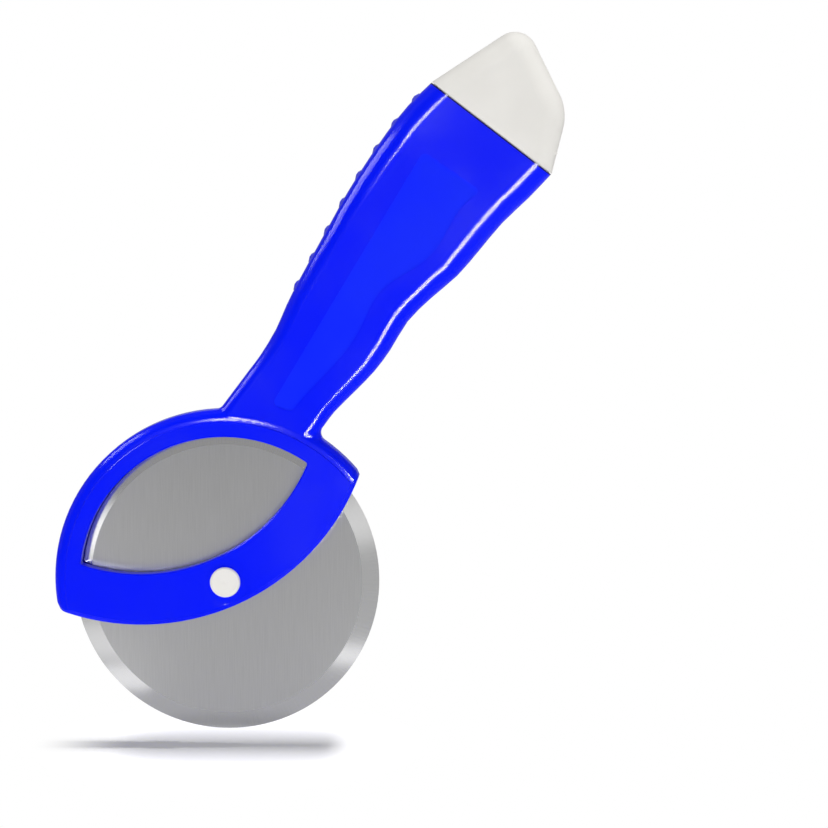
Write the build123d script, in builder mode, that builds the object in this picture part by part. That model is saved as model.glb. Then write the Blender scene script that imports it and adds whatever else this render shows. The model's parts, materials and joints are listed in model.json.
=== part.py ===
from build123d import *
from math import cos, radians, sin
import os

# Hand-held pizza cutter: a steel disc that spins in a leaf-shaped plastic guard moulded in one
# with its grip, a white cap that closes the hollow grip, and a two-part white plastic axle.
# The model stands as the cutter is held in use: +Z up, +X to the side that the grip leans to,
# the disc's axis along Y with its front at -Y. The origin is the middle of the grip.
# Lengths are in millimetres. A reach is a distance from the axle along the grip's direction.

# Disc
disc_radius = 35.0
disc_thickness = 1.0
bevel_width = 3.85
edge_thickness = 0.2

# Axle: a headed hollow pin from the front and a headed stud pressed into it from the back
shank_radius = 2.3
shank_bore_radius = 1.25
spin_clearance = 0.05
press_clearance = 0.02
head_radius = 3.42
head_thickness = 1.0
head_chamfer = 0.3
dimple_radius = 0.9
dimple_depth = 0.15
stud_length = 5.0
stud_lead = 0.3
shank_end_gap = 0.3

# Guard: the upper arc runs round the disc's centre, the lower band round a centre far above it
rim_margin = 4.3
rim_overlap = 1.7
band_radius = 47.9
band_width = 11.9
guard_lean = 114.2
guard_thickness = 8.0
rim_rounding = 2.6
band_chamfer = 0.7
left_tip_rounding = 2.8
right_tip_rounding = 1.6
tip_relief = 0.1
plate_rise = 0.4
plate_rim_margin = 2.5
plate_band_margin = 0.9
plate_tip_rounding = 0.5
plate_chamfer = 0.2
window_tip_rounding = 0.6
window_chamfer = 0.3
slot_width = 2.2
slot_clearance = 1.0
disc_side_gap = 0.15
boss_radius = 5.4
dish_depth = 0.25
dish_slope = 0.5

# Grip
grip_lean = 52.83
grip_offset = 14.0
neck_sink = 1.3
grip_length = 80.1
grip_half_width = 17.0
grip_thickness = 16.0
grip_corner = 5.0
neck_step = 0.25
neck_corner = 3.0
neck_blend = 2.2
origin_share = 0.57

# The grip's outline and swell, from the neck to the cap: the place along the grip, the width to
# the thumb side and to the finger side as shares of the half width, and the swell from the
# neck's thickness to the cap's. The sections between these places follow a smooth curve
grip_shares = (
    (0.05, 0.624, 0.618, 0.0),
    (0.1, 0.624, 0.618, 0.07),
    (0.187, 0.665, 0.674, 0.21),
    (0.262, 0.747, 0.715, 0.33),
    (0.337, 0.809, 0.712, 0.45),
    (0.431, 0.871, 0.668, 0.58),
    (0.524, 0.932, 0.729, 0.70),
    (0.618, 0.991, 0.824, 0.80),
    (0.712, 1.026, 0.853, 0.88),
    (0.811, 1.047, 0.876, 0.95),
    (0.911, 1.035, 0.953, 0.99),
    (1.0, 0.971, 1.0, 1.0),
)
# The neck runs on inside the guard with an even section
root_share = -0.35
sections_per_row = 2

# Hollow inside the grip, open at the cap: a core that narrows evenly towards the neck. Its inner
# end has a width and a height, and a centre off the grip's line towards the thumb side
cavity_wall = 2.2
cavity_corner = 2.0
cavity_end_share = 0.175
cavity_end_width = 15.2
cavity_end_height = 5.2
cavity_end_shift = 1.1

# Matte panels sunk into the front and back of the grip: the straight thumb side and the wavy
# finger side, as the place along the grip and across its half width
panel_depth = 0.2
panel_corner = 1.2
panel_thumb_shares = ((0.837, 0.514), (0.012, 0.11))
panel_finger_shares = (
    (0.03, -0.156),
    (0.203, -0.229),
    (0.271, -0.247),
    (0.357, -0.203),
    (0.449, -0.138),
    (0.571, -0.318),
    (0.637, -0.385),
    (0.723, -0.341),
    (0.848, -0.424),
)

# Thumb ribs: rings that stand out of the side wall
rib_count = 8
rib_width = 3.0
rib_crest_width = 0.8
rib_height = 0.5
rib_depth = 1.5
rib_first_share = 0.325
rib_last_share = 0.937
rib_ring_share = 0.75

# Cap: the two far corners of its outline as shares of its length and of the grip's half width
cap_length = 23.0
cap_tip_shares = (1.0, 0.485)
cap_shoulder_shares = (0.583, -0.67)
cap_tip_rounding = 5.0
cap_shoulder_rounding = 11.0
seam_groove = 0.2
seam_groove_depth = 0.6
plug_length = 12.0
plug_wall = 1.8
plug_clearance = 0.05
plug_lead = 0.5
cap_hollow_share = 0.2

overrun = 2.0

# Places and directions that follow from the sizes above
half_guard = guard_thickness / 2
half_grip = grip_thickness / 2
half_slot = slot_width / 2
half_disc = disc_thickness / 2
face_height = half_guard + plate_rise
seat_height = face_height - dish_depth
head_top = seat_height + head_thickness
stud_radius = shank_bore_radius - press_clearance
guard_radius = disc_radius + rim_margin
neck_reach = guard_radius - neck_sink
window_radius = disc_radius - rim_overlap
band_outer_radius = band_radius + band_width / 2
band_inner_radius = band_radius - band_width / 2
neck_height = half_guard - neck_step
frontwards = (0, -1, 0)
grip_along = Vector(cos(radians(grip_lean)), 0, sin(radians(grip_lean)))
grip_left = Vector(-sin(radians(grip_lean)), 0, cos(radians(grip_lean)))
guard_up = Vector(cos(radians(guard_lean)), 0, sin(radians(guard_lean)))
seam_reach = neck_reach + grip_length
origin_reach = neck_reach + origin_share * grip_length
axle_spot = -(grip_along * origin_reach + grip_left * grip_offset)
grip_spot = axle_spot + grip_left * grip_offset
axle_axis = Axis(axle_spot, (0, 1, 0))
grip_line = Axis(grip_spot, grip_along)

# Views to draw in: the guard from the front, the grip from the front with x along it, and the
# half section through the axle with y towards the back
guard_view = Plane(origin=axle_spot, x_dir=(1, 0, 0), z_dir=frontwards)
grip_view = Plane(origin=grip_spot, x_dir=grip_along, z_dir=frontwards)
axle_section = Plane(origin=axle_spot, x_dir=(1, 0, 0), z_dir=(0, 0, 1))
band_centre = guard_view.to_local_coords(axle_spot + guard_up * band_radius)


def grip_section(reach):
    """The plane across the grip at a reach, with x to the thumb side and y to the back."""
    return Plane(origin=grip_spot + grip_along * reach, x_dir=grip_left, z_dir=grip_along)


def outline_edges(edges):
    """The edges that lie in the front-most and the back-most plane."""
    levels = edges.group_by(Axis.Y)
    return levels[0] + levels[-1]


def reach_at(share):
    """The reach at a share of the grip's length."""
    return neck_reach + share * grip_length


def grip_sizes(row):
    """The widths to both sides, the half height and the corner radius of a row of the table."""
    share, thumb_share, finger_share, swell = row
    half_height = neck_height + swell * (half_grip - neck_height)
    corner = neck_corner + swell * (grip_corner - neck_corner)
    return grip_half_width * thumb_share, grip_half_width * finger_share, half_height, corner


def row_between(index, part_way):
    """The row at a part of the way from a row of the table to the next, on a smooth curve."""
    last = len(grip_shares) - 1
    low, high = grip_shares[index], grip_shares[index + 1]
    before, after = grip_shares[max(index - 1, 0)], grip_shares[min(index + 2, last)]
    step = high[0] - low[0]
    row = [low[0] + part_way * step]
    for column in range(1, len(low)):
        rise = high[column] - low[column]
        start_slope = step * (high[column] - before[column]) / (high[0] - before[0])
        end_slope = step * (after[column] - low[column]) / (after[0] - low[0])
        start_bend = (start_slope - rise) * part_way * (1 - part_way) ** 2
        end_bend = (rise - end_slope) * part_way**2 * (1 - part_way)
        row.append(low[column] + part_way * rise + start_bend + end_bend)
    return tuple(row)


def row_at(share):
    """The row at any share of the grip's length within the table."""
    index = max(i for i, row in enumerate(grip_shares[:-1]) if row[0] <= share)
    low, high = grip_shares[index][0], grip_shares[index + 1][0]
    return row_between(index, (share - low) / (high - low))


def grip_form(sink):
    """The grip's outer form, with its front and back faces sunk by a depth."""
    rows = [(root_share, *grip_shares[0][1:])]
    for index in range(len(grip_shares) - 1):
        rows += [row_between(index, part / sections_per_row) for part in range(sections_per_row)]
    rows.append(grip_shares[-1])
    with BuildPart() as form:
        for row in rows:
            thumb, finger, half_height, corner = grip_sizes(row)
            with BuildSketch(grip_section(reach_at(row[0]))):
                with Locations(((thumb - finger) / 2, 0)):
                    RectangleRounded(thumb + finger, 2 * (half_height - sink), corner)
        loft(ruled=True)
    return form.part


def core_form(start_reach, end_reach, inset):
    """A stretch of the hollow's even taper, with its sides drawn in by an inset."""
    thumb, finger, half_height, _ = grip_sizes(grip_shares[-1])
    mouth = (thumb + finger - 2 * cavity_wall, 2 * (half_height - cavity_wall), (thumb - finger) / 2)
    inner = (cavity_end_width, cavity_end_height, cavity_end_shift)
    inner_reach = reach_at(cavity_end_share)
    with BuildPart() as core:
        for reach in (start_reach, end_reach):
            part_way = (reach - inner_reach) / (seam_reach - inner_reach)
            width, height, shift = (a + part_way * (b - a) for a, b in zip(inner, mouth))
            with BuildSketch(grip_section(reach)):
                with Locations((shift, 0)):
                    RectangleRounded(width - 2 * inset, height - 2 * inset, cavity_corner)
        loft(ruled=True)
    return core.part


def leaf_prism(upper_radius, lower_radius, half_height, left_rounding, right_rounding):
    """A leaf-shaped prism between an arc round the axle and an arc round the band's centre."""
    with BuildPart() as leaf:
        with BuildSketch(guard_view.offset(-half_height)) as outline:
            Circle(upper_radius)
            with Locations((band_centre.X, band_centre.Y)):
                Circle(lower_radius, mode=Mode.INTERSECT)
            fillet(outline.vertices().sort_by(Axis.X)[0], left_rounding)
            fillet(outline.vertices().sort_by(Axis.X)[-1], right_rounding)
        extrude(amount=2 * half_height)
    return leaf.part


def guard_plate():
    """The raised flat of the guard's two faces, with its edge broken."""
    with BuildPart() as plate:
        upper_radius = guard_radius - plate_rim_margin
        lower_radius = band_outer_radius - plate_band_margin
        add(leaf_prism(upper_radius, lower_radius, face_height, plate_tip_rounding, plate_tip_rounding))
        chamfer(outline_edges(plate.edges()), plate_chamfer)
    return plate.part


def panel_recess():
    """The shallow space of the two sunk panels, down to the grip's form sunk by their depth."""
    thumb = [(reach_at(along), across * grip_half_width) for along, across in panel_thumb_shares]
    finger = [(reach_at(along), across * grip_half_width) for along, across in panel_finger_shares]
    with BuildPart() as recess:
        with BuildSketch(grip_view.offset(-half_grip - overrun)) as outline:
            with BuildLine():
                Spline(*finger)
                Polyline(finger[-1], *thumb, finger[0])
            make_face()
            fillet(outline.vertices(), panel_corner)
        extrude(amount=grip_thickness + 2 * overrun)
        add(grip_form(panel_depth), mode=Mode.SUBTRACT)
    return recess.part


with BuildPart() as handle:
    # Guard blank: a round slab with a rounded rim, cut to a leaf by the band's lower arc
    with BuildSketch(axle_section) as half_slab:
        with Locations((guard_radius / 2, 0)):
            Rectangle(guard_radius, guard_thickness)
        fillet(half_slab.vertices().group_by(Axis.X)[-1], rim_rounding)
    revolve(axis=axle_axis)
    add(
        leaf_prism(
            guard_radius + tip_relief,
            band_outer_radius,
            half_guard + overrun,
            left_tip_rounding,
            right_tip_rounding,
        ),
        mode=Mode.INTERSECT,
    )
    chamfer(handle.edges(Select.NEW).filter_by(GeomType.CIRCLE), band_chamfer)

    # Grip, blended into the guard where its neck comes out of the rim
    add(grip_form(0))
    fillet(handle.edges(Select.NEW), neck_blend)

    # Thumb ribs
    for rib in range(rib_count):
        rib_share = rib_first_share + rib * (rib_last_share - rib_first_share) / (rib_count - 1)
        wall, _, half_height, _ = grip_sizes(row_at(rib_share))
        ring_middle = wall + rib_height - rib_ring_share * half_height
        rib_reach = reach_at(rib_share)
        with BuildSketch(grip_view):
            with BuildLine():
                Polyline(
                    (rib_reach - rib_width / 2, wall - rib_depth),
                    (rib_reach - rib_width / 2, wall),
                    (rib_reach - rib_crest_width / 2, wall + rib_height),
                    (rib_reach + rib_crest_width / 2, wall + rib_height),
                    (rib_reach + rib_width / 2, wall),
                    (rib_reach + rib_width / 2, wall - rib_depth),
                    close=True,
                )
            make_face()
        revolve(axis=Axis(grip_view.from_local_coords((rib_reach, ring_middle, 0)), grip_along))

    # Hollow and panels
    add(core_form(reach_at(cavity_end_share), seam_reach + overrun, 0), mode=Mode.SUBTRACT)
    add(panel_recess(), mode=Mode.SUBTRACT)

    # Raised flats, then the window through them
    add(guard_plate())
    add(
        leaf_prism(
            window_radius,
            band_inner_radius,
            face_height + overrun,
            window_tip_rounding,
            window_tip_rounding,
        ),
        mode=Mode.SUBTRACT,
    )
    chamfer(outline_edges(handle.edges(Select.NEW)), window_chamfer)

    # Slot for the disc, with a boss left on each side of it round the axle
    with BuildSketch(axle_section):
        with BuildLine():
            Polyline(
                (0, half_disc + disc_side_gap),
                (boss_radius, half_disc + disc_side_gap),
                (boss_radius, half_slot),
                (disc_radius + slot_clearance, half_slot),
                (disc_radius + slot_clearance, 0),
                (0, 0),
                close=True,
            )
        make_face()
        mirror(about=Plane.XZ)
    revolve(axis=axle_axis, mode=Mode.SUBTRACT)

    # Dished seats for the axle's heads, and its bore
    with BuildSketch(axle_section):
        with BuildLine():
            Polyline(
                (0, seat_height),
                (boss_radius - dish_slope, seat_height),
                (boss_radius, face_height),
                (boss_radius, face_height + overrun),
                (0, face_height + overrun),
                close=True,
            )
        make_face()
        mirror(about=Plane.XZ)
        with Locations(((shank_radius + press_clearance) / 2, 0)):
            Rectangle(shank_radius + press_clearance, 2 * face_height)
    revolve(axis=axle_axis, mode=Mode.SUBTRACT)

with BuildPart() as end_cap:
    # Body, rounded like the grip's edges all round but at the seam
    cap_thumb, cap_finger, _, _ = grip_sizes(grip_shares[-1])
    cap_start = seam_reach + seam_groove
    cap_tip = (seam_reach + cap_tip_shares[0] * cap_length, cap_tip_shares[1] * grip_half_width)
    cap_shoulder = (
        seam_reach + cap_shoulder_shares[0] * cap_length,
        cap_shoulder_shares[1] * grip_half_width,
    )
    with BuildSketch(grip_view.offset(-half_grip)) as cap_outline:
        with BuildLine():
            Polyline((cap_start, cap_thumb), cap_tip, cap_shoulder, (cap_start, -cap_finger), close=True)
        make_face()
        fillet(cap_outline.vertices().sort_by_distance(cap_tip)[0], cap_tip_rounding)
        fillet(cap_outline.vertices().sort_by_distance(cap_shoulder)[0], cap_shoulder_rounding)
    extrude(amount=grip_thickness)
    fillet(outline_edges(end_cap.edges()).sort_by(grip_line)[2:], grip_corner)

    # Seat that meets the grip's end and leaves the seam's groove round it
    with BuildSketch(grip_section(seam_reach)):
        with Locations(((cap_thumb - cap_finger) / 2, 0)):
            RectangleRounded(
                cap_thumb + cap_finger - 2 * seam_groove_depth,
                grip_thickness - 2 * seam_groove_depth,
                grip_corner - seam_groove_depth,
            )
    extrude(amount=seam_groove + seam_groove_depth)

    # Hollow plug that goes into the grip
    hollow_reach = seam_reach + cap_hollow_share * cap_length
    add(core_form(seam_reach - plug_length, hollow_reach, plug_clearance))
    chamfer(end_cap.faces().sort_by(grip_line)[0].outer_wire().edges(), plug_lead)
    add(
        core_form(seam_reach - plug_length - overrun, hollow_reach, plug_clearance + plug_wall),
        mode=Mode.SUBTRACT,
    )

with BuildPart() as cutting_disc:
    with BuildSketch(axle_section):
        with BuildLine():
            Polyline(
                (shank_radius + spin_clearance, half_disc),
                (disc_radius - bevel_width, half_disc),
                (disc_radius, edge_thickness / 2),
                (disc_radius, 0),
                (shank_radius + spin_clearance, 0),
                close=True,
            )
        make_face()
        mirror(about=Plane.XZ)
    revolve(axis=axle_axis)

with BuildPart() as axle_pin:
    with BuildSketch(axle_section) as pin_half:
        with BuildLine():
            Polyline(
                (0, dimple_depth - head_top),
                (dimple_radius, -head_top),
                (head_radius, -head_top),
                (head_radius, -seat_height),
                (shank_radius, -seat_height),
                (shank_radius, seat_height - shank_end_gap),
                (shank_bore_radius, seat_height - shank_end_gap),
                (shank_bore_radius, seat_height - stud_length - shank_end_gap),
                (0, seat_height - stud_length - shank_end_gap),
                close=True,
            )
        make_face()
        chamfer(pin_half.vertices().sort_by_distance((head_radius, -head_top))[0], head_chamfer)
    revolve(axis=axle_axis)

with BuildPart() as axle_stud:
    with BuildSketch(axle_section) as stud_half:
        with BuildLine():
            Polyline(
                (0, head_top),
                (head_radius, head_top),
                (head_radius, seat_height),
                (stud_radius, seat_height),
                (stud_radius, seat_height - stud_length + stud_lead),
                (stud_radius - stud_lead, seat_height - stud_length),
                (0, seat_height - stud_length),
                close=True,
            )
        make_face()
        chamfer(stud_half.vertices().sort_by_distance((head_radius, head_top))[0], head_chamfer)
    revolve(axis=axle_axis)

os.makedirs("parts", exist_ok=True)
handle.part.label = "handle"
export_step(handle.part, "parts/handle.step")
end_cap.part.label = "end_cap"
export_step(end_cap.part, "parts/end_cap.step")
cutting_disc.part.label = "cutting_disc"
export_step(cutting_disc.part, "parts/cutting_disc.step")
axle_pin.part.label = "axle_pin"
export_step(axle_pin.part, "parts/axle_pin.step")
axle_stud.part.label = "axle_stud"
export_step(axle_stud.part, "parts/axle_stud.step")
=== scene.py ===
import json
from math import acos, cos, pi, radians, sin, tan

import bmesh
import bpy
from mathutils import Matrix, Vector


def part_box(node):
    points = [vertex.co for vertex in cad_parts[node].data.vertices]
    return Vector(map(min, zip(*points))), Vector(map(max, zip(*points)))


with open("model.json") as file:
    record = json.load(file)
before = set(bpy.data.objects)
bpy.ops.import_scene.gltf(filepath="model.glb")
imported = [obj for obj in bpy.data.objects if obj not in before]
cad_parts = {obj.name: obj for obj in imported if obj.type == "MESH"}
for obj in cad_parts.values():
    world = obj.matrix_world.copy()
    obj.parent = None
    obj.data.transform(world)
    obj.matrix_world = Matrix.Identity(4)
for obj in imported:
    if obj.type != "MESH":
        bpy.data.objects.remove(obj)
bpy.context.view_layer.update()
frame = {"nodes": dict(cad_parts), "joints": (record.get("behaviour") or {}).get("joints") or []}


def linear(red, green, blue):
    """A colour of 8-bit display values as the shader's linear values."""
    shares = (value / 255 for value in (red, green, blue))
    return tuple(s / 12.92 if s <= 0.04045 else ((s + 0.055) / 1.055) ** 2.4 for s in shares) + (1,)


def grey(level):
    """A neutral colour of a linear level."""
    return (level, level, level, 1)


# Hand-held pizza cutter: a blue guard and grip in one moulding, a steel disc, and a white cap and
# axle. Lengths are in metres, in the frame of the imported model: +Z up, +X to the side that the
# grip leans to, front at -Y. The scene adds no pieces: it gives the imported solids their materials
# and their smooth shading.
MM = 0.001
UP = Vector((0, 0, 1))
FRONT = Vector((0, -1, 0))
axle = Vector(frame["joints"][0]["pos_m"])
disc_low, disc_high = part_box("cutting_disc")
disc_radius = (disc_high.z - disc_low.z) / 2
GRIP_LEAN = radians(52.83)
grip_along = Vector((cos(GRIP_LEAN), 0, sin(GRIP_LEAN)))
grip_left = Vector((-sin(GRIP_LEAN), 0, cos(GRIP_LEAN)))
PANEL_SEEDS = ((0, -8 * MM, 0), (0, 8 * MM, 0))

# Photograph: its side in pixels, the size of a pixel at the disc and the axle's place in it
PHOTO_SIDE = 828
PIXEL = 0.2297 * MM
AXLE_PIXEL = (227.06, 578.87)

# Camera: how far it stands in front of the axle, how far to the right of it and above it as
# shares of that, and how far to the left and down it looks for each length forwards
CAMERA_DISTANCE = 600 * MM
CAMERA_PLACE_SHARES = (0.1009, 0.1751)
CAMERA_LOOK_SHARES = (0.02, 0.1463)
SENSOR_WIDTH = 36
CLIP_START = 30 * MM
CLIP_END = 12.0

# Shading: facets that meet at less than these angles are parts of one smooth surface, and places
# nearer than WELD are one
SMOOTH_UNDER = radians(38)
DISC_SMOOTH_UNDER = radians(4)
WELD = 0.001 * MM

# Bevel: the width of the disc's outer band that holds it. A face there is flat where the share of
# its normal along Y is over FLAT_OVER, and the disc's outer edge where it is under EDGE_UNDER.
BEVEL_WIDTH = 3.85 * MM
FLAT_OVER = 0.9995
EDGE_UNDER = 0.9

# Moulded plastics
BLUE = dict(
    colour=linear(0, 22, 248),
    shade=linear(1, 24, 245),
    roughness=0.15,
    specular=0.08,
    grain=9000.0,
    grain_depth=0.0005 * MM,
)
BLUE_PANEL = dict(
    colour=linear(12, 38, 252),
    shade=linear(15, 41, 249),
    roughness=0.4,
    specular=0.005,
    grain=5000.0,
    grain_depth=0.02 * MM,
)
WHITE = dict(
    colour=linear(232, 230, 225),
    shade=linear(228, 226, 221),
    roughness=0.35,
    specular=0.4,
    grain=7000.0,
    grain_depth=0.02 * MM,
)
CLOUD_SCALE = 60.0
CLOUD_DETAIL = 3.0
CLOUD_COLOUR_RANGE = (0.35, 0.65)
CLOUD_GLOSS_RANGE = (0.3, 0.7)
GLOSS_SPREAD = 0.03
GRAIN_DETAIL = 2.0
GRAIN_STRENGTH = 0.25
# Painted shade at the grip's seam with the cap: the width and colour of a dark line that stands in
# for the shade there
SEAM_SHADE_WIDTH = 0.4 * MM
SEAM_SHADE_COLOUR = linear(14, 8, 96)

# Steels: the 8-bit greys and the roughness between which their marks vary
BRUSHED_TONES = (219, 226)
BRUSHED_ROUGHNESS = (0.3, 0.34)
BRUSHED_SCALE = (4000.0, 4000.0, 120.0)
GROUND_TONES = (214, 232)
GROUND_ROUGHNESS = (0.12, 0.2)
GROUND_SCALE = 160.0
MARKS_DETAIL = 3.0
MARKS_RANGE = (0.2, 0.8)

# Floor: its tone, its tone where gloss mirrors it from in front of the object or behind it, and
# the distance from the disc's foot within which the shadow fades out
floor_height = disc_low.z - 4.1 * MM
FLOOR_HALF_WIDTH = 3.0
FLOOR_TONE = 0.95
FLOOR_MIRRORED_TONE = 0.41
FLOOR_MIRRORED_FROM = (2 * MM, 12 * MM)
FLOOR_SHADOW_REACH = (22 * MM, 46 * MM)
FLOOR_WHITE = 1.0

# Room: its light on the object, and its grey in gloss in front of the object and behind it, which
# turns to white to the sides and above
ROOM_LIGHT = 0.35
ROOM_MIRRORED = 0.36
ROOM_MIRRORED_RANGE = (0.5, -0.1)

# Lamps that light: the overhead ones stand in line with the leaning handle
foot = Vector((axle.x, 0, floor_height))
OVERHEAD_RISE = radians(69)
OVERHEAD_DISTANCE = 1.2
OVERHEAD_SIZE = (0.1, 0.08)
OVERHEAD_LIGHT = 0.5
FLOOR_LAMP_SIZE = (0.14, 0.05)
FLOOR_LAMP_LIGHT = 0.95
FILLS = (("front_fill", (-0.12, -0.6, 0.1)), ("back_fill", (0.12, 0.6, 0.1)))
FILL_SIZE = (0.4, 0.4)
FILL_LIGHT = 0.38

# Lamps that show in gloss alone: the place that shows each, how far its surface tilts to the
# grip's left there, and how far away the lamp stands
GRIP_TOP_LEFT = (Vector((0.002, -0.007, 0.033)), 0.10, 0.3)
GRIP_TOP_RIGHT = (Vector((0.034, -0.007, 0.018)), -0.17, 0.2)
GRIP_NECK_RIGHT = (Vector((-0.022, -0.004, -0.041)), -0.26, 0.1)
GRIP_LEFT_SIZE = (0.07, 0.07)
GRIP_LEFT_GLARE = 95
GRIP_RIGHT_WIDTH = 0.05
GRIP_RIGHT_GLARE = 110
RIM_OUTWARD = Vector((-0.6, 0, 0.8))
RIM_LAMP_DISTANCE = 0.3
RIM_LAMP_SIZE = (0.2, 0.1)
RIM_GLARE = 16

# Bright patches on the bevel: name, angle round the axle in degrees, lamp's side and its glare
BEVEL_PATCHES = (
    ("bevel_left", 205, 0.045, 0.45),
    ("bevel_lower_left", 224, 0.020, 0.6),
    ("bevel_lower_right", -32, 0.020, 0.75),
    ("bevel_upper_right", 26, 0.030, 0.65),
    ("bevel_window", 160, 0.030, 1.3),
)
PATCH_DISTANCE = 0.2
PATCH_LIFT = 0.5 * MM


class Nodes:
    """A short way to build a node tree."""

    MIX_INPUTS = (0, 6, 7)
    MIX_RESULT = 2

    def __init__(self, tree):
        self.tree = tree
        tree.nodes.clear()

    def feed(self, socket, value):
        """Gives an input a value or another node's output."""
        if isinstance(value, bpy.types.NodeSocket):
            self.tree.links.new(value, socket)
        else:
            socket.default_value = value

    def add(self, kind, inputs=None, **settings):
        """A new node with its settings and its inputs."""
        node = self.tree.nodes.new(kind)
        for name, value in settings.items():
            setattr(node, name, value)
        for name, value in (inputs or {}).items():
            self.feed(node.inputs[name], value)
        return node

    def place(self):
        """The place on the object."""
        return self.add("ShaderNodeTexCoord").outputs["Object"]

    def noise(self, vector, scale, detail):
        inputs = {"Vector": vector, "Scale": scale, "Detail": detail}
        return self.add("ShaderNodeTexNoise", inputs).outputs["Fac"]

    def math(self, operation, *values):
        inputs = dict(enumerate(values))
        return self.add("ShaderNodeMath", inputs, operation=operation).outputs[0]

    def measure(self, operation, first, second):
        """A number from two vectors."""
        inputs = {0: first, 1: second}
        return self.add("ShaderNodeVectorMath", inputs, operation=operation).outputs["Value"]

    def ramp(self, value, low, high, to_low=0.0, to_high=1.0):
        """The value carried smoothly from one range to another."""
        inputs = {
            "Value": value,
            "From Min": low,
            "From Max": high,
            "To Min": to_low,
            "To Max": to_high,
        }
        return self.add("ShaderNodeMapRange", inputs, interpolation_type="SMOOTHSTEP").outputs[0]

    def mix(self, share, low, high):
        """A colour between two others."""
        node = self.add("ShaderNodeMix", data_type="RGBA")
        for index, value in zip(self.MIX_INPUTS, (share, low, high)):
            self.feed(node.inputs[index], value)
        return node.outputs[self.MIX_RESULT]


def new_material(name):
    material = bpy.data.materials.new(name)
    material.use_nodes = True
    return material, Nodes(material.node_tree)


def dress(node, *materials):
    """Gives a CAD node its materials."""
    slots = frame["nodes"][node].data.materials
    slots.clear()
    for material in materials:
        slots.append(material)


def moulded_plastic(
    name, colour, shade, roughness, specular, grain, grain_depth, seam=None
):
    """Moulded plastic: faint clouds in its colour, uneven gloss and a fine moulded grain. A seam
    at that distance along the grip gets painted shade beside it: a dark line that stands in for the
    shade where the grip meets the cap."""
    material, nodes = new_material(name)
    place = nodes.place()
    clouds = nodes.noise(place, CLOUD_SCALE, CLOUD_DETAIL)
    fine = nodes.noise(place, grain, GRAIN_DETAIL)
    base = nodes.mix(nodes.ramp(clouds, *CLOUD_COLOUR_RANGE), colour, shade)
    if seam:
        along = nodes.measure("DOT_PRODUCT", place, grip_along)
        # Painted shade: the grip darkens to the seam's shade colour over the last width before the
        # seam
        line = nodes.ramp(along, seam - SEAM_SHADE_WIDTH, seam - SEAM_SHADE_WIDTH / 2)
        base = nodes.mix(line, base, SEAM_SHADE_COLOUR)
    rough_range = (roughness - GLOSS_SPREAD, roughness + GLOSS_SPREAD)
    bump_inputs = {"Height": fine, "Strength": GRAIN_STRENGTH, "Distance": grain_depth}
    shader_inputs = {
        "Base Color": base,
        "Roughness": nodes.ramp(clouds, *CLOUD_GLOSS_RANGE, *rough_range),
        "Specular IOR Level": specular,
        "Normal": nodes.add("ShaderNodeBump", bump_inputs).outputs[0],
    }
    shader = nodes.add("ShaderNodeBsdfPrincipled", shader_inputs)
    nodes.add("ShaderNodeOutputMaterial", {"Surface": shader.outputs[0]})
    return material


def upright_marks(nodes):
    """Where the noise of marks is read that run up the disc, as its faces are brushed."""
    inputs = {"Vector": nodes.place(), "Scale": BRUSHED_SCALE}
    return nodes.add("ShaderNodeMapping", inputs).outputs[0]


def outward_marks(nodes):
    """Where the noise of marks is read that run outwards from the axle, as the bevel is ground."""
    parts = nodes.add("ShaderNodeSeparateXYZ", {"Vector": nodes.place()}).outputs
    across = nodes.math("SUBTRACT", parts["X"], axle.x)
    upwards = nodes.math("SUBTRACT", parts["Z"], axle.z)
    turn = nodes.math("ARCTAN2", upwards, across)
    along = nodes.math("MULTIPLY", turn, GROUND_SCALE)
    return nodes.add("ShaderNodeCombineXYZ", {"X": along}).outputs[0]


def steel(name, marks_at, tones, roughness):
    """Bare steel whose tone and gloss vary with its fine marks."""
    material, nodes = new_material(name)
    marks = nodes.noise(marks_at(nodes), 1.0, MARKS_DETAIL)
    dark, light = (linear(tone, tone, tone) for tone in tones)
    shader_inputs = {
        "Base Color": nodes.mix(nodes.ramp(marks, *MARKS_RANGE), dark, light),
        "Metallic": 1.0,
        "Roughness": nodes.ramp(marks, *MARKS_RANGE, *roughness),
    }
    shader = nodes.add("ShaderNodeBsdfPrincipled", shader_inputs)
    nodes.add("ShaderNodeOutputMaterial", {"Surface": shader.outputs[0]})
    return material


def corner_place(mesh, vertex):
    """A vertex's place as a key that its split twins share."""
    return tuple(round(value / WELD) for value in mesh.vertices[vertex].co)


def meeting_faces(mesh):
    """The faces that meet at each place of a mesh, also across its split edges."""
    meeting = {}
    for face in mesh.polygons:
        for vertex in face.vertices:
            meeting.setdefault(corner_place(mesh, vertex), []).append(face.index)
    return meeting


def soften(node, under):
    """Shades a node's facets as the round surfaces that they stand for."""
    mesh = frame["nodes"][node].data
    meeting = meeting_faces(mesh)
    smooth_over = cos(under)
    normals = []
    for face in mesh.polygons:
        for vertex in face.vertices:
            total = Vector((0, 0, 0))
            for index in meeting[corner_place(mesh, vertex)]:
                other = mesh.polygons[index]
                if other.normal.dot(face.normal) > smooth_over:
                    total += other.normal * other.area
            normals.append(total.normalized())
    mesh.normals_split_custom_set(normals)


def paint_panel(node, seed, slot):
    """Gives a material slot to the face nearest a seed and all that join it without an edge."""
    mesh = frame["nodes"][node].data
    meeting = meeting_faces(mesh)
    smooth_over = cos(SMOOTH_UNDER)
    waiting = [min(mesh.polygons, key=lambda face: (face.center - seed).length).index]
    reached = set(waiting)
    while waiting:
        face = mesh.polygons[waiting.pop()]
        face.material_index = slot
        for vertex in face.vertices:
            for index in meeting[corner_place(mesh, vertex)]:
                if index in reached or mesh.polygons[index].normal.dot(face.normal) <= smooth_over:
                    continue
                reached.add(index)
                waiting.append(index)


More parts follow.
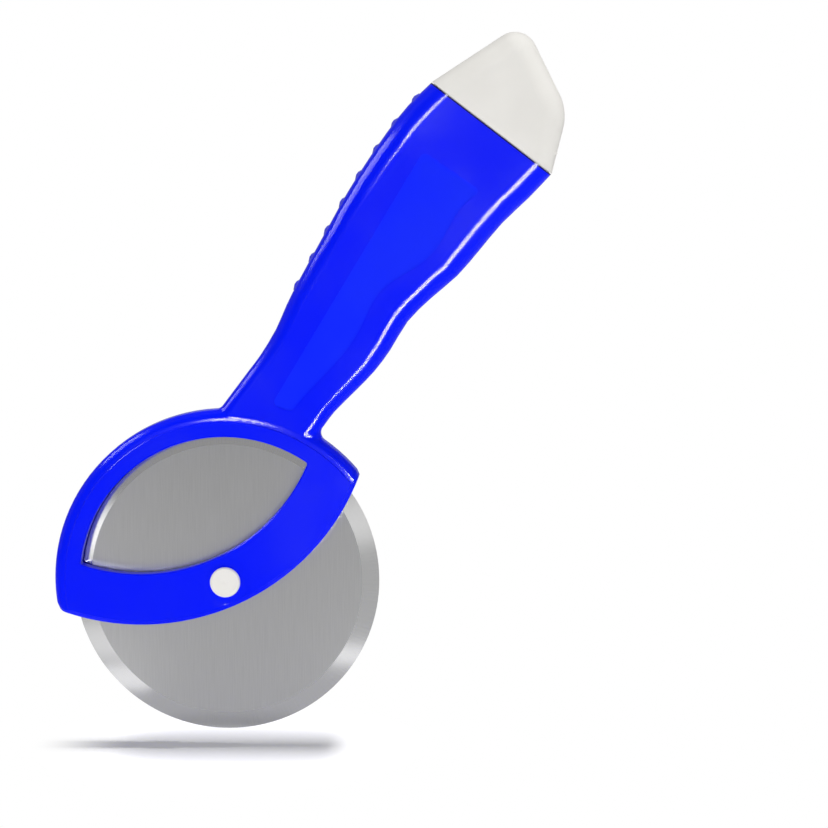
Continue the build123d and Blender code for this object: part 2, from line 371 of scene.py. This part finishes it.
def paint_bevel(slot):
    """Gives the disc's sloping faces and its edge a material slot, and tells the bevel's slope."""
    mesh = frame["nodes"]["cutting_disc"].data
    slopes = []
    for face in mesh.polygons:
        outward = (face.center - axle).length
        if outward > disc_radius - BEVEL_WIDTH and abs(face.normal.y) < FLAT_OVER:
            face.material_index = slot
            if abs(face.normal.y) > EDGE_UNDER:
                slopes.append(tan(acos(abs(face.normal.y))))
    return min(slopes)


def make_camera():
    """The photograph's view, with the axle on its own pixel. Returns the camera's place."""
    data = bpy.data.cameras.new("camera")
    camera = bpy.data.objects.new("camera", data)
    bpy.context.scene.collection.objects.link(camera)
    right_share, up_share = CAMERA_PLACE_SHARES
    left_look, down_look = CAMERA_LOOK_SHARES
    place = axle + CAMERA_DISTANCE * Vector((right_share, -1, up_share))
    forward = Vector((-left_look, 1, -down_look)).normalized()
    right = forward.cross(UP).normalized()
    up = right.cross(forward)
    to_axle = axle - place
    straight_x = AXLE_PIXEL[0] - to_axle.dot(right) / PIXEL
    straight_y = AXLE_PIXEL[1] + to_axle.dot(up) / PIXEL
    data.sensor_width = SENSOR_WIDTH
    data.lens = SENSOR_WIDTH * to_axle.dot(forward) / (PIXEL * PHOTO_SIDE)
    data.clip_start = CLIP_START
    data.clip_end = CLIP_END
    data.shift_x = (PHOTO_SIDE / 2 - straight_x) / PHOTO_SIDE
    data.shift_y = (straight_y - PHOTO_SIDE / 2) / PHOTO_SIDE
    camera.location = place
    camera.rotation_euler = Matrix((right, up, -forward)).transposed().to_euler()
    bpy.context.scene.camera = camera
    return place


def make_world():
    """White to the camera, and in gloss a greyer room in front of the object and behind it."""
    world = bpy.data.worlds.new("studio")
    bpy.context.scene.world = world
    world.use_nodes = True
    nodes = Nodes(world.node_tree)
    direction = nodes.add("ShaderNodeTexCoord").outputs["Generated"]
    depth = nodes.add("ShaderNodeSeparateXYZ", {"Vector": direction}).outputs["Y"]
    sideways = nodes.ramp(nodes.math("ABSOLUTE", depth), *ROOM_MIRRORED_RANGE)
    path = nodes.add("ShaderNodeLightPath").outputs
    tone = nodes.mix(sideways, grey(ROOM_MIRRORED), grey(1))
    tone = nodes.mix(path["Is Diffuse Ray"], tone, grey(ROOM_LIGHT))
    tone = nodes.mix(path["Is Camera Ray"], tone, grey(1))
    background = nodes.add("ShaderNodeBackground", {"Color": tone, "Strength": 1.0})
    nodes.add("ShaderNodeOutputWorld", {"Surface": background.outputs[0]})


def floor_material():
    """Shows as white where no shadow falls, and mirrors in the steel as grey."""
    material, nodes = new_material("floor")
    place = nodes.place()
    path = nodes.add("ShaderNodeLightPath").outputs
    reach = nodes.measure("DISTANCE", place, foot)
    depth = nodes.add("ShaderNodeSeparateXYZ", {"Vector": place}).outputs["Y"]
    away = nodes.ramp(nodes.math("ABSOLUTE", depth), *FLOOR_MIRRORED_FROM)
    greyer = nodes.math("MULTIPLY", path["Is Glossy Ray"], away)
    white = nodes.math("MAXIMUM", path["Is Camera Ray"], path["Is Transmission Ray"])
    white = nodes.math("MAXIMUM", white, nodes.math("SUBTRACT", path["Is Glossy Ray"], greyer))
    plain = nodes.math("MULTIPLY", nodes.ramp(reach, *FLOOR_SHADOW_REACH), white)
    darker = nodes.math("MULTIPLY", greyer, FLOOR_TONE - FLOOR_MIRRORED_TONE)
    tone = nodes.math("SUBTRACT", FLOOR_TONE, darker)
    tone = nodes.math("MULTIPLY", tone, nodes.math("SUBTRACT", 1.0, plain))
    colour = nodes.add("ShaderNodeCombineColor", {0: tone, 1: tone, 2: tone}).outputs[0]
    diffuse = nodes.add("ShaderNodeBsdfDiffuse", {"Color": colour})
    missing = nodes.math("MULTIPLY", white, nodes.math("SUBTRACT", FLOOR_WHITE, tone))
    glow = nodes.add("ShaderNodeEmission", {"Strength": missing})
    both = nodes.add("ShaderNodeAddShader", {0: diffuse.outputs[0], 1: glow.outputs[0]})
    nodes.add("ShaderNodeOutputMaterial", {"Surface": both.outputs[0]})
    return material


def make_floor():
    """A flat floor under the disc."""
    mesh = bpy.data.meshes.new("floor")
    shape = bmesh.new()
    w = FLOOR_HALF_WIDTH
    corners = ((-w, -w), (w, -w), (w, w), (-w, w))
    shape.faces.new([shape.verts.new((x, y, floor_height)) for x, y in corners])
    shape.to_mesh(mesh)
    shape.free()
    floor = bpy.data.objects.new("floor", mesh)
    bpy.context.scene.collection.objects.link(floor)
    mesh.materials.append(floor_material())
    return floor


def make_lamp(name, place, target, size, receivers, light=None, glare=None):
    """A soft rectangular lamp that points at a target and lights the receivers alone. Its light
    is the level that it gives to a surface at the target that faces it, where 1 shows a colour as
    written. A lamp with glare instead is seen in gloss alone, at that brightness."""
    to_target = Vector(target) - Vector(place)
    width, height = size
    data = bpy.data.lights.new(name, "AREA")
    data.shape = "RECTANGLE"
    data.size = width
    data.size_y = height
    if light:
        data.energy = light * (pi * to_target.length) ** 2
    else:
        data.energy = glare * pi * width * height
    lamp = bpy.data.objects.new(name, data)
    bpy.context.scene.collection.objects.link(lamp)
    lamp.location = place
    lamp.rotation_euler = to_target.to_track_quat("-Z", "Y").to_euler()
    lamp.visible_camera = False
    lamp.visible_diffuse = light is not None
    lamp.visible_glossy = glare is not None
    lit = bpy.data.collections.new(name + "_receivers")
    for receiver in receivers:
        lit.objects.link(receiver)
    lamp.light_linking.receiver_collection = lit
    return lamp


def mirrored(place, normal, distance):
    """Where a lamp stands that the camera sees mirrored at a place with this normal."""
    sight = (place - eye).normalized()
    return place + sight.reflect(normal.normalized()) * distance


def grip_mirrored(place, left_tilt, distance):
    """The same for a place on the grip's front that tilts to its left."""
    return mirrored(place, FRONT + left_tilt * grip_left, distance)


def make_grip_highlights():
    """Light lines along the grip's front edges: a lamp for the left and a strip for the right."""
    lamp_place = grip_mirrored(*GRIP_TOP_LEFT)
    make_lamp(
        "left_highlight", lamp_place, GRIP_TOP_LEFT[0], GRIP_LEFT_SIZE, handle, glare=GRIP_LEFT_GLARE
    )
    start = grip_mirrored(*GRIP_NECK_RIGHT)
    end = grip_mirrored(*GRIP_TOP_RIGHT)
    middle = (start + end) / 2
    target = (GRIP_TOP_RIGHT[0] + GRIP_NECK_RIGHT[0]) / 2
    size = (GRIP_RIGHT_WIDTH, (end - start).length)
    strip = make_lamp("right_highlight", middle, target, size, handle, glare=GRIP_RIGHT_GLARE)
    backward = (middle - target).normalized()
    sideways = (end - start).cross(backward).normalized()
    axes = Matrix((sideways, backward.cross(sideways), backward))
    strip.rotation_euler = axes.transposed().to_euler()


def make_rim_highlight():
    """A light line along the guard's rounded rim, where it faces up and to the left."""
    place = axle + disc_radius * RIM_OUTWARD
    lamp_place = mirrored(place, FRONT + RIM_OUTWARD, RIM_LAMP_DISTANCE)
    make_lamp("rim_highlight", lamp_place, place, RIM_LAMP_SIZE, handle, glare=RIM_GLARE)


def make_bevel_patch(name, degrees, side, glare):
    """A bright patch on the disc's bevel. Its lamp lies flat on the floor where it would
    otherwise stand in it."""
    outward = Vector((cos(radians(degrees)), 0, sin(radians(degrees))))
    place = axle + outward * (disc_radius - BEVEL_WIDTH / 2)
    lamp_place = mirrored(place, FRONT + bevel_slope * outward, PATCH_DISTANCE)
    target = place
    if lamp_place.z < floor_height + side:
        drop = (place.z - floor_height - PATCH_LIFT) / (place.z - lamp_place.z)
        lamp_place = place + (lamp_place - place) * drop
        target = lamp_place + UP
    make_lamp(name, lamp_place, target, (side, side), disc, glare=glare)


whole_object = list(frame["nodes"].values())
handle = [frame["nodes"]["handle"]]
disc = [frame["nodes"]["cutting_disc"]]

grip_end = max(vertex.co.dot(grip_along) for vertex in handle[0].data.vertices)
blue = moulded_plastic("blue_plastic", **BLUE, seam=grip_end)
blue_panel = moulded_plastic("blue_panel", **BLUE_PANEL)
white = moulded_plastic("white_plastic", **WHITE)
dress("handle", blue, blue_panel)
for node in frame["nodes"]:
    soften(node, DISC_SMOOTH_UNDER if node == "cutting_disc" else SMOOTH_UNDER)
for seed in PANEL_SEEDS:
    paint_panel("handle", Vector(seed), slot=1)
for node in ("end_cap", "axle_pin", "axle_stud"):
    dress(node, white)
brushed = steel("brushed_steel", upright_marks, BRUSHED_TONES, BRUSHED_ROUGHNESS)
ground = steel("ground_steel", outward_marks, GROUND_TONES, GROUND_ROUGHNESS)
dress("cutting_disc", brushed, ground)
bevel_slope = paint_bevel(slot=1)

eye = make_camera()
make_world()
floor = make_floor()
overhead = foot + OVERHEAD_DISTANCE * Vector((cos(OVERHEAD_RISE), 0, sin(OVERHEAD_RISE)))
make_lamp("overhead", overhead, foot, OVERHEAD_SIZE, whole_object, light=OVERHEAD_LIGHT)
make_lamp("floor_light", overhead, foot, FLOOR_LAMP_SIZE, [floor], light=FLOOR_LAMP_LIGHT)
for name, place in FILLS:
    make_lamp(name, place, (0, 0, 0), FILL_SIZE, whole_object, light=FILL_LIGHT)
make_grip_highlights()
make_rim_highlight()
for patch in BEVEL_PATCHES:
    make_bevel_patch(*patch)

bpy.context.scene.view_settings.view_transform = "Standard"
